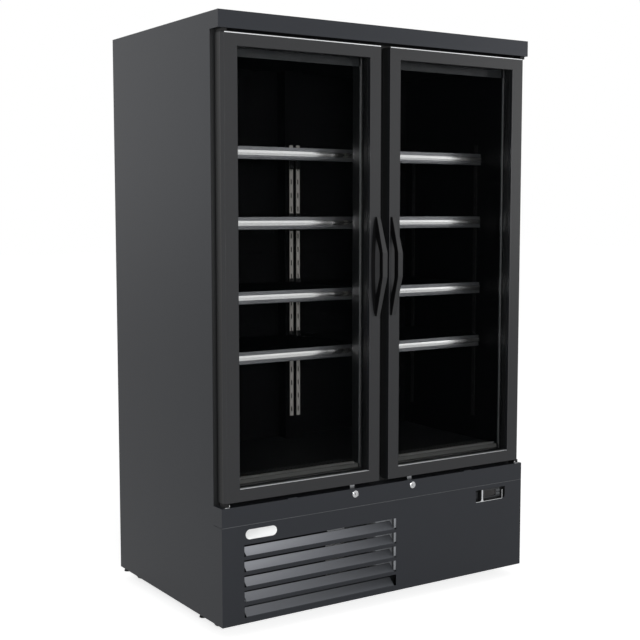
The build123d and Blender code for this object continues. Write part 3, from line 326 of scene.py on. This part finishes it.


# Doors: painted aluminium face frames in satin black, with a thin bright strip along the top edge and on the ledge
# under the glass as painted highlight, where those edges catch the light. Behind them, black moulded frames hold
# the glass.
def door_painted_highlights(side, sign):
    def build(bm):
        # Painted highlights: a bright strip on the top edge and one on the ledge under the glass.
        x = sorted((sign * 0.5785, sign * 0.0190))
        block(bm, (x[0], -0.3517, 1.8022), (x[1], -0.3500, 1.8049), 0.0004)
        x = sorted((sign * 0.5348, sign * 0.0597))
        block(bm, (x[0], -0.3506, 0.4556), (x[1], -0.3384, 0.4566), 0.0003)
    piece(side + "_bright_edges", side + "_door", build, bright_and_painted_highlight)


door_paint = surface("door_black", "151619", 0.40, grain=1100.0, relief=0.00010, mottle=0.04)
bright_and_painted_highlight = surface("bright_metal_and_painted_highlight", "eceef0", 0.35, metal=0.35, grain=600.0, relief=0.00002, mottle=0.03,
               stretch=(0.1, 1, 1))
dress(door_paint, "left_door_front_frame", "right_door_front_frame")
dress(moulded, "left_door_rear_frame", "right_door_rear_frame")
door_painted_highlights("left", -1)
door_painted_highlights("right", 1)


# Glass: two clear float panes to a door, with an air gap between them. They mirror less than plain glass does,
# so the dark inside stays visible.
glass = bpy.data.materials.new("coated_pane")
glass.use_nodes = True
tree = glass.node_tree
shader = tree.nodes["Principled BSDF"]
smear = add(tree, "TexNoise", Vector=add(tree, "TexCoord").outputs["Object"], Scale=2.5, Detail=3.0)
film = add(tree, "MapRange", Value=smear.outputs["Fac"], To_Min=0.02, To_Max=0.05)
tree.links.new(film.outputs["Result"], shader.inputs["Roughness"])
shader.inputs["Base Color"].default_value = colour("06090a")
shader.inputs["IOR"].default_value = 1.5
shader.inputs["Specular IOR Level"].default_value = 0.02
shader.inputs["Alpha"].default_value = 0.05
dress(glass, "left_door_glass", "right_door_glass")


# Spacer: dark bar that keeps the two panes apart, just inside the rear frame.
# It is mitred at the corners and bonded to the glass.
def mitred(bm, x, z, outline):
    """Bars of one section round a rectangle, each cut at 45 degrees at both ends."""
    for along, across, stand in ((x, z, False), (z, x, True)):
        for edge, way in ((across[0], 1), (across[1], -1)):
            bar = bmesh.new()
            prism(bar, [(y, edge + way * inset) for inset, y in outline], "x", along[0], along[1])
            for end, turn in ((along[0], 1), (along[1], -1)):
                bmesh.ops.bisect_plane(bar, geom=bar.verts[:] + bar.edges[:] + bar.faces[:], dist=0.0000001,
                                       plane_co=(end, 0, edge), plane_no=(turn, 0, -way), clear_inner=True)
            if stand:
                for v in bar.verts:
                    v.co = Vector((v.co.z, v.co.y, v.co.x))
            kept = bpy.data.meshes.new("bar")
            bar.to_mesh(kept)
            bar.free()
            bm.from_mesh(kept)
            bpy.data.meshes.remove(kept)
    bmesh.ops.remove_doubles(bm, verts=bm.verts, dist=0.00001)


def spacer(side, sign):
    def build(bm):
        x = sorted((sign * 0.5470, sign * 0.04745))
        mitred(bm, x, (0.4435, 1.7780), [(0, -0.3338), (0.0112, -0.3338), (0.0112, -0.3182), (0, -0.3182)])
    piece(side + "_pane_spacer", side + "_door", build, moulded, smooth=0)


spacer("left", -1)
spacer("right", 1)


# Gaskets: extruded soft seals with a magnet inside, mitred and welded at the corners. A clip-in base, bellows
# that fold and a flat head replace the plain ring of the CAD.
def bellows(side, sign):
    def build(bm):
        x = sorted((sign * 0.579, sign * 0.02175))
        mitred(bm, x, (0.421, 1.8005), [
            (0, -0.3103), (0, -0.3088), (0.0022, -0.3082), (0.0014, -0.3066), (0.003, -0.3056), (0.003, -0.3029),
            (0.012, -0.3029), (0.012, -0.3056), (0.0136, -0.3066), (0.0128, -0.3082), (0.015, -0.3088),
            (0.015, -0.3103)])
    piece(side + "_bellows", side + "_door", build, seal, [side + "_door_gasket"], smooth=0)


seal = surface("gasket_rubber", "17181a", 0.6, grain=900.0, relief=0.00005)
dress(seal, "left_door_gasket", "right_door_gasket")
bellows("left", -1)
bellows("right", 1)


# Handles: bowed bars moulded in black, screwed to the meeting stiles. Their front faces have a sheen; the side
# faces take a near-black, low-gloss copy as painted shade, and a black bow-shaped plate on each stile is the bar's
# painted shadow.
handle_polished = surface("handle_polished", "17181a", 0.38, grain=500.0, relief=0.00005, mottle=0.04)
handle_painted_shade = surface("handle_painted_shade", "060607", 0.6, grain=500.0, relief=0.00005, Specular_IOR_Level=0.1)
for side in ("left", "right"):
    mesh = nodes[side + "_door_handle"].data
    dress(handle_polished, side + "_door_handle")
    mesh.materials.append(handle_painted_shade)
    for face in mesh.polygons:
        # Painted shade: faces turned to the side take the near-black copy.
        face.material_index = int(abs(face.normal.x) > 0.2)


def handle_painted_shadow(side, sign):
    # Painted shadow: a thin black plate where the bar's shadow falls on the stile.
    def build(bm):
        arc = [math.pi * k / 16 for k in range(17)]
        outer = [(sign * (0.0385 + 0.0145 * math.sin(a)), 1.1125 - 0.152 * math.cos(a)) for a in arc]
        inner = [(sign * (0.0290 + 0.0105 * math.sin(a)), 1.1125 + 0.135 * math.cos(a)) for a in arc]
        prism(bm, outer + inner, "y", -0.3525, -0.3510)
    piece(side + "_handle_painted_shadow", side + "_door", build, handle_painted_shade, smooth=25)


handle_painted_shadow("left", -1)
handle_painted_shadow("right", 1)


# Hinges: blacked steel plates and pins, screwed to the cabinet at the doors' outer corners.
# A round screw head and the bright edge of a washer show at each bottom plate.
def hinge_screws(bm):
    for sign in (-1, 1):
        turned(bm, [(0, 0), (0.0036, 0), (0.0036, 0.0008), (0.0028, 0.0018), (0, 0.0022)],
               (sign * 0.5745, -0.3508, 0.4103), "y", 20)
        block(bm, (sign * 0.5790 - 0.0075, -0.3515, 0.4046), (sign * 0.5790 + 0.0075, -0.3500, 0.4058), 0.0004)


dress(blacked, "door_hinges")
piece("hinge_screws", "cabinet", hinge_screws, bright_and_painted_highlight)


# Door rests: low pads on top of the lock strip, in the strip's own black.
# They carry a shut door so that it doesn't sag on its hinges.
def door_rests(bm):
    for x in (-0.352, 0.352):
        block(bm, (x - 0.017, -0.3560, 0.4043), (x + 0.017, -0.3420, 0.4073), 0.0008)


piece("door_rests", "cabinet", door_rests, powder)


# Locks: turned brass plugs and rings, chromed; each plug's keyway is a thin black slab on its face, painted shade
# for the slot. Their bolts are stamped from strip and zinc plated.
lock_x, lock_z = 0.1155, 0.3872


def lock_ring(side, sign):
    def build(bm):
        turned(bm, [(0.0072, -0.3545), (0.0072, -0.3573), (0.0100, -0.3573), (0.0112, -0.3564), (0.0112, -0.3541)],
               (sign * lock_x, 0, lock_z), "y")
    piece(side + "_lock_ring", "cabinet", build, chrome)


def keyway_painted_shade(side, sign):
    def build(bm):
        # Painted shade: a thin black slab for the dark slot of the keyway.
        block(bm, (sign * lock_x - 0.0006, -0.35685, 0.3845), (sign * lock_x + 0.0006, -0.3566, 0.3899))
        block(bm, (sign * lock_x - 0.0011, -0.35685, 0.3865), (sign * lock_x + 0.0011, -0.3566, 0.3879))
    piece(side + "_keyway", side + "_lock_plug", build, blacked, smooth=0)


chrome = surface("polished_chrome", "d6d7d9", 0.12, metal=1.0, grain=300.0, relief=0.00001, mottle=0.02,
                 spread=0.03)
dress(chrome, "left_lock_plug", "right_lock_plug")
dress(zinc, "left_lock_bolt", "right_lock_bolt")
for side, sign in (("left", -1), ("right", 1)):
    lock_ring(side, sign)
    keyway_painted_shade(side, sign)


# Lower front panel: powder-coated sheet with lanced flaps bent in. On the flaps the colour is painted light: grey
# that brightens up each flap, dims to the right and towards the bottom, and turns black above each flap's tip as
# painted shade. A pale bead in the seam under the lock strip is a painted highlight on the panel's top edge.
flap_foot, flap_pitch = 0.0583, 0.0473


def seam_painted_highlight(bm):
    # Painted highlight: a pale bead in the seam, for the lit top edge of the lower panel.
    block(bm, (-0.5985, -0.3537, 0.3446), (0.5985, -0.3520, 0.3454))


louvred = surface("louvred_powder", "151619", 0.42, grain=1100.0, relief=0.00012, mottle=0.04,
                  Specular_Tint=powder_tint)
tree = louvred.node_tree
shader = tree.nodes["Principled BSDF"]
# Painted light on the flaps: brighter up each flap, dimmer to the right and towards the bottom, black above each
# tip.
spot = add(tree, "SeparateXYZ", Vector=add(tree, "TexCoord").outputs["Object"])
behind = add(tree, "Math", operation="GREATER_THAN")
tree.links.new(spot.outputs["Y"], behind.inputs[0])
behind.inputs[1].default_value = -0.3526
among = add(tree, "Math", operation="COMPARE")
tree.links.new(spot.outputs["X"], among.inputs[0])
among.inputs[1].default_value = -0.2365
among.inputs[2].default_value = 0.30
flap = add(tree, "Math", operation="MULTIPLY")
tree.links.new(behind.outputs[0], flap.inputs[0])
tree.links.new(among.outputs[0], flap.inputs[1])
sheet_tone = shader.inputs["Base Color"].links[0].from_socket
rise = add(tree, "Math", operation="WRAP")
tree.links.new(spot.outputs["Z"], rise.inputs[0])
rise.inputs[1].default_value = flap_foot + flap_pitch
rise.inputs[2].default_value = flap_foot
height = add(tree, "MapRange", Value=rise.outputs[0], From_Min=flap_foot, From_Max=0.0850)
painted_shade_above_flap = add(tree, "MapRange", Value=rise.outputs[0], From_Min=0.0805, From_Max=0.0812)
low = add(tree, "MapRange", Value=spot.outputs["Z"], From_Min=0.29, From_Max=0.05, To_Max=0.75)
painted_dim_right = add(tree, "MapRange", Value=spot.outputs["X"], From_Min=-0.52, From_Max=0.05, To_Min=0.0, To_Max=1.0)
lit = add(tree, "MixRGB", Fac=height.outputs["Result"], Color1=colour("96989e"), Color2=colour("d0d3da"))
far = add(tree, "MixRGB", Fac=painted_dim_right.outputs["Result"], Color1=lit.outputs["Color"], Color2=colour("484a4e"))
lower = add(tree, "MixRGB", Fac=low.outputs["Result"], Color1=far.outputs["Color"], Color2=colour("3a3c3f"))
topped = add(tree, "MixRGB", Fac=painted_shade_above_flap.outputs["Result"], Color1=lower.outputs["Color"], Color2=colour("040404"))
tone = add(tree, "MixRGB", Fac=flap.outputs[0], Color1=sheet_tone, Color2=topped.outputs["Color"])
tree.links.new(tone.outputs["Color"], shader.inputs["Base Color"])
dress(louvred, "lower_front_panel")
pale_painted_highlight = surface("pale_painted_highlight", "77797b", 0.5, grain=500.0, relief=0.00003)
piece("seam_painted_highlight", "cabinet", seam_painted_highlight, pale_painted_highlight, smooth=0)


# Badge place: a bare pressed plate with rounded ends and a raised rim, in white enamel.
# It is stuck to the front of the lower panel.
badge_x, badge_z = -0.4640, 0.3150
badge_half = 0.0395


def badge(bm):
    made = bmesh.ops.create_circle(bm, cap_ends=True, segments=48, radius=0.0155)["verts"]
    for v in made:
        shift = badge_half if v.co.x >= 0 else -badge_half
        v.co = Vector((v.co.x + shift + badge_x, -0.3541, v.co.y + badge_z))
    face = next(f for f in bm.faces)
    for away, grow in ((-0.0012, 0), (-0.0005, -0.0010), (0.0006, -0.0012)):
        drawn = bmesh.ops.extrude_face_region(bm, geom=[face])["geom"]
        face = next(g for g in drawn if isinstance(g, bmesh.types.BMFace))
        for v in face.verts:
            side = Vector((v.co.x - badge_x, 0, v.co.z - badge_z))
            side.x = max(0.0, abs(side.x) - badge_half) * (1 if side.x > 0 else -1)
            v.co += Vector((0, away, 0)) + side.normalized() * grow


badge_face = surface("white_enamel", "fbfcfc", 0.3, grain=500.0, relief=0.00002, mottle=0.01)
piece("badge_plate", "cabinet", badge, badge_face)


# Control pocket: black moulded tray clipped into the lower panel. A light grey strip along its lower edge, up its
# right side and between its two windows is painted highlight, where the tray's edges catch the light.
def pocket_painted_highlights(bm):
    # Painted highlights: light grey strips on the lower edge, right side and divider of the pocket.
    block(bm, (0.3925, -0.3548, 0.2880), (0.5125, -0.3526, 0.2896), 0.0006)
    block(bm, (0.5108, -0.3545, 0.2890), (0.5125, -0.3526, 0.3210), 0.0006)
    prism(bm, [(0.4110, 0.2890), (0.4290, 0.2890), (0.4245, 0.2925), (0.4232, 0.2980), (0.4232, 0.3290),
               (0.4188, 0.3290), (0.4188, 0.2980), (0.4168, 0.2925)], "y", -0.3548, -0.3524)


dress(moulded, "control_pocket")
painted_highlight_grey = surface("pocket_highlight_grey", "d8dadc", 0.28, grain=500.0, relief=0.00002)
piece("pocket_painted_highlights", "cabinet", pocket_painted_highlights, painted_highlight_grey)


# Switch and controller: moulded grey-black caps that snap into the pocket. The controller has a dark window
# and four grey keys.
def controller_keys(bm):
    for k in range(4):
        x, z = 0.4975 + 0.0085 * (k % 2), 0.3012 + 0.0115 * (k // 2)
        block(bm, (x, -0.3409, z), (x + 0.0062, -0.3398, z + 0.0075), 0.0006)


def controller_window(bm):
    block(bm, (0.4435, -0.3404, 0.2992), (0.4935, -0.3393, 0.3203), 0.0005)


cap_grey = surface("cap_plastic", "26282b", 0.35, grain=500.0, relief=0.00003)
key_grey = surface("key_plastic", "5a5c5e", 0.5, grain=500.0, relief=0.00004)
window_gloss = surface("display_window", "141112", 0.1, grain=300.0, relief=0.00001, spread=0.03)
dress(cap_grey, "rocker_switch", "temperature_controller")
piece("controller_keys", "cabinet", controller_keys, key_grey)
piece("controller_window", "cabinet", controller_window, window_gloss)


# Electrical box: folded galvanised steel behind the louvres. Its lid and four short strips in front of it
# come close to the flaps and show between them.
def box_lid(bm):
    block(bm, (-0.0100, -0.3205, 0.0975), (0.1750, -0.3195, 0.2850), 0.0003)
    block(bm, (-0.0100, -0.3200, 0.2840), (0.1750, -0.2700, 0.2850), 0.0003)
    block(bm, (-0.0100, -0.3200, 0.0975), (-0.0090, -0.2700, 0.2850), 0.0003)
    for k in range(4):
        block(bm, (0.0415, -0.3519, 0.1100 + flap_pitch * k), (0.0600, -0.3509, 0.1430 + flap_pitch * k), 0.0003)


dress(galvanised, "electrical_box")
new_zinc = surface("new_galvanised", "8e9195", 0.5, metal=0.3, grain=160.0, relief=0.00003, mottle=0.1)
piece("box_lid", "cabinet", box_lid, new_zinc)


# Base pan: pressed galvanised tray that carries the refrigerating unit and the castors.
# It is bare metal like the box.
dress(galvanised, "base_pan")


# Compressor: two drawn steel shells welded together, with a seam round the middle, under black enamel.
# It stands on the base pan.
def compressor_seam(bm):
    turned(bm, [(0.0735, -0.0030), (0.0768, -0.0030), (0.0768, 0.0030), (0.0735, 0.0030)], (0.25, 0.086, 0.190),
           "z", 48)


enamel = surface("compressor_enamel", "101113", 0.3, grain=220.0, relief=0.00012)
dress(enamel, "compressor")
piece("compressor_seam", "cabinet", compressor_seam, enamel)


# Condenser: thin fins on copper tubes between two end plates, in place of the grooved block. It is dipped
# in black epoxy after soldering, so nothing shines behind the louvres.
def hairpins(bm, ends, y, z, rows, pitch, radius=0.0045):
    """Straight tubes along X, joined by half-round bends at alternate ends."""
    for row in range(rows):
        high = z + row * pitch
        rod(bm, (ends[0], y, high), (ends[1], y, high), radius, 10)
        if row + 1 < rows:
            end, way = (ends[1], 1) if row % 2 == 0 else (ends[0], -1)
            ring = bmesh.ops.create_circle(bm, cap_ends=False, segments=10, radius=radius,
                                           matrix=Matrix.Translation((end, y, high)) @ Matrix.Rotation(
                                               math.pi / 2, 4, "Y"))["verts"]
            bmesh.ops.spin(bm, geom=ring + list({e for v in ring for e in v.link_edges}),
                           cent=(end, y, high + pitch / 2), axis=(0, -way, 0), angle=math.pi, steps=7,
                           use_merge=False, use_normal_flip=False, use_duplicate=False)


def condenser_fins(bm):
    for k in range(96):
        x = -0.4965 + 0.313 * k / 95
        block(bm, (x - 0.0002, -0.278, 0.097), (x + 0.0002, -0.230, 0.269))


def condenser_plates(bm):
    for x in (-0.499, -0.181):
        block(bm, (x - 0.001, -0.279, 0.095), (x + 0.001, -0.229, 0.271))


def condenser_tubes(bm):
    for y in (-0.266, -0.242):
        hairpins(bm, (-0.5005, -0.1795), y, 0.1097, 6, 0.0293)


fin_metal = surface("fin_aluminium", "aeb1b4", 0.4, metal=1.0, grain=600.0, relief=0.00003, mottle=0.08)
copper = surface("copper_tube", "b4714a", 0.28, metal=1.0, grain=200.0, relief=0.00003, second="8f5234")
epoxy = surface("coil_epoxy", "08090a", 0.5, grain=400.0, relief=0.00004, Specular_IOR_Level=0.2)
dress(fin_metal, "condenser_coil", "evaporator_coil")
piece("condenser_fins", "cabinet", condenser_fins, epoxy, ["condenser_coil"], smooth=0)
piece("condenser_plates", "cabinet", condenser_plates, epoxy, smooth=0)
piece("condenser_tubes", "cabinet", condenser_tubes, epoxy)


# Pipework: drawn copper lines, bent and brazed. One runs from the compressor to the condenser and one
# comes down through the insulated floor.
def line(name, points, radius):
    """Round pipe along a smooth route."""
    route = bpy.data.curves.new(name, "CURVE")
    route.dimensions = "3D"
    route.bevel_depth = radius
    route.bevel_resolution = 3
    route.use_fill_caps = True
    spline = route.splines.new("NURBS")
    spline.points.add(len(points) - 1)
    for point, place in zip(spline.points, points):
        point.co = place + (1,)
    spline.order_u = 3
    spline.use_endpoint_u = True
    holder = bpy.data.objects.new(name, route)
    mesh = bpy.data.meshes.new_from_object(holder)
    bpy.data.objects.remove(holder)
    bpy.data.curves.remove(route)
    return mesh


def pipework(bm):
    for mesh in (
            line("discharge", [(0.216, 0.146, 0.163), (0.216, 0.172, 0.163), (0.216, 0.186, 0.160),
                               (0.216, 0.190, 0.140), (0.200, 0.190, 0.120), (0.05, 0.190, 0.118),
                               (-0.08, 0.186, 0.118), (-0.10, 0.170, 0.118), (-0.10, 0.0, 0.118),
                               (-0.11, -0.18, 0.118), (-0.140, -0.235, 0.114), (-0.176, -0.242, 0.110)], 0.004),
            line("suction", [(0.284, 0.146, 0.163), (0.284, 0.170, 0.163), (0.284, 0.182, 0.175),
                             (0.284, 0.182, 0.215), (0.270, 0.180, 0.230), (0.13, 0.176, 0.230),
                             (0.10, 0.160, 0.230), (0.10, 0.110, 0.232), (0.10, 0.100, 0.250),
                             (0.10, 0.100, 0.2875)], 0.005)):
        bm.from_mesh(mesh)
        bpy.data.meshes.remove(mesh)


piece("pipework", "cabinet", pipework, copper)


# Fans, cowls and tray: folded galvanised cowls round dark moulded rotors, and a grey moulded tray in which
# the melt water evaporates.
fan_plastic = surface("fan_moulding", "1c1d1f", 0.5, grain=500.0, relief=0.00006)
tray_plastic = surface("tray_moulding", "4a4c4e", 0.5, grain=500.0, relief=0.00008)
dress(galvanised, "condenser_fan_cowl", "evaporator_fan_cowl")
dress(fan_plastic, "condenser_fan", "evaporator_fan")
dress(tray_plastic, "evaporating_tray")


# Evaporator: aluminium fins pressed on copper tubes, lying under the floor deck, in place of the grooved block.
# Its tubes and fins are left bare.
def evaporator_fins(bm):
    for k in range(120):
        x = -0.3565 + 0.713 * k / 119
        block(bm, (x - 0.0002, -0.163, 0.351), (x + 0.0002, 0.065, 0.438))
    for x in (-0.359, 0.359):
        block(bm, (x - 0.001, -0.164, 0.3495), (x + 0.001, 0.066, 0.4395))


def evaporator_tubes(bm):
    for k in range(6):
        hairpins(bm, (-0.3605, 0.3605), -0.145 + 0.038 * k, 0.3645, 3, 0.030)


piece("evaporator_fins", "cabinet", evaporator_fins, fin_metal, ["evaporator_coil"], smooth=0)
piece("evaporator_tubes", "cabinet", evaporator_tubes, copper)


# Castors and feet: blacked forks on dark hard-rubber wheels, with zinc caps on the axles, and blacked
# levelling feet on threaded studs.
corners = [end + side for end in ("front_", "rear_") for side in ("left", "right")]


def axle_caps(corner):
    def build(bm):
        x = -0.546 if corner.endswith("left") else 0.546
        y = -0.229 if corner.startswith("front") else 0.344
        for way in (-1, 1):
            turned(bm, [(0, way * 0.0166), (0.0034, way * 0.0166), (0.0058, way * 0.0150), (0.0058, way * 0.0142),
                        (0, way * 0.0142)], (x, y, 0.025), "x", 20)
    piece(corner + "_axle_caps", corner + "_castor_fork", build, zinc)


tread = surface("castor_tread", "1a1b1c", 0.55, grain=500.0, relief=0.0001)
dress(tread, *[corner + "_castor_wheel" for corner in corners])
dress(blacked, *[corner + kind for corner in corners for kind in ("_castor_fork", "_levelling_foot")])
for corner in corners:
    axle_caps(corner)


# Studio: white floor, white world and two area lamps. Glossy rays see the world at full strength and about
# a third of the floor's glow, and diffuse rays see 0.35 of the world and none of the glow.
def made_mesh(name, build):
    """Object from a bmesh, for the studio."""
    made = bpy.data.objects.new(name, bpy.data.meshes.new(name))
    bm = bmesh.new()
    build(bm)
    bm.to_mesh(made.data)
    bm.free()
    bpy.context.scene.collection.objects.link(made)
    return made


def seen_straight(tree, kinds):
    """1 for camera rays, a given level for the other named kinds and 0 for the rest."""
    path = add(tree, "LightPath")
    total = path.outputs["Is Camera Ray"]
    for kind, level in kinds.items():
        share = add(tree, "Math", operation="MULTIPLY")
        tree.links.new(path.outputs[kind], share.inputs[0])
        share.inputs[1].default_value = level
        either = add(tree, "Math", operation="MAXIMUM")
        tree.links.new(total, either.inputs[0])
        tree.links.new(share.outputs[0], either.inputs[1])
        total = either.outputs[0]
    return total


floor = made_mesh("floor", lambda bm: bmesh.ops.create_grid(bm, x_segments=1, y_segments=1, size=30))
pale = bpy.data.materials.new("pale_floor")
pale.use_nodes = True
tree = pale.node_tree
tree.nodes.remove(tree.nodes["Principled BSDF"])
cover = add(tree, "BsdfDiffuse", Color=(0.85, 0.85, 0.85, 1))
glow = add(tree, "Emission", Color=(1, 1, 1, 1), Strength=0.72)
shown = add(tree, "AddShader")
tree.links.new(cover.outputs[0], shown.inputs[0])
tree.links.new(glow.outputs[0], shown.inputs[1])
chosen = add(tree, "MixShader", Fac=seen_straight(tree, {"Is Glossy Ray": 0.35}))
tree.links.new(cover.outputs[0], chosen.inputs[1])
tree.links.new(shown.outputs[0], chosen.inputs[2])
tree.links.new(chosen.outputs[0], tree.nodes["Material Output"].inputs["Surface"])
floor.data.materials.append(pale)

world = bpy.data.worlds.new("studio")
bpy.context.scene.world = world
world.use_nodes = True
tree = world.node_tree
level = add(tree, "MapRange", Value=seen_straight(tree, {"Is Glossy Ray": 1, "Is Transmission Ray": 1}),
            To_Min=0.35, To_Max=1.0)
tree.links.new(level.outputs["Result"], tree.nodes["Background"].inputs["Strength"])
tree.nodes["Background"].inputs["Color"].default_value = (1, 1, 1, 1)


def lamp(name, place, aim, width, height, power):
    """Rectangular area light."""
    light = bpy.data.lights.new(name, "AREA")
    light.shape = "RECTANGLE"
    light.size = width
    light.size_y = height
    light.energy = power
    made = bpy.data.objects.new(name, light)
    made.location = place
    made.rotation_euler = (Vector(aim) - Vector(place)).to_track_quat("-Z", "Y").to_euler()
    bpy.context.scene.collection.objects.link(made)


lamp("key", (3.31, -2.79, 1.7), (0, -0.2, 1.1), 0.7, 1.5, 12)
lamp("left", (-2.2, -4.5, 1.5), (0, 0, 1.0), 1.0, 1.0, 120)

camera_data = bpy.data.cameras.new("camera")
camera_data.lens = 66.22
camera_data.sensor_width = 36.0
camera = bpy.data.objects.new("camera", camera_data)
camera.location = (-2.2414, -3.3852, 1.2891)
camera.rotation_euler = (math.radians(90 - 5.291), 0, math.radians(-33.301))
bpy.context.scene.collection.objects.link(camera)
bpy.context.scene.camera = camera
bpy.context.scene.view_settings.view_transform = "Standard"
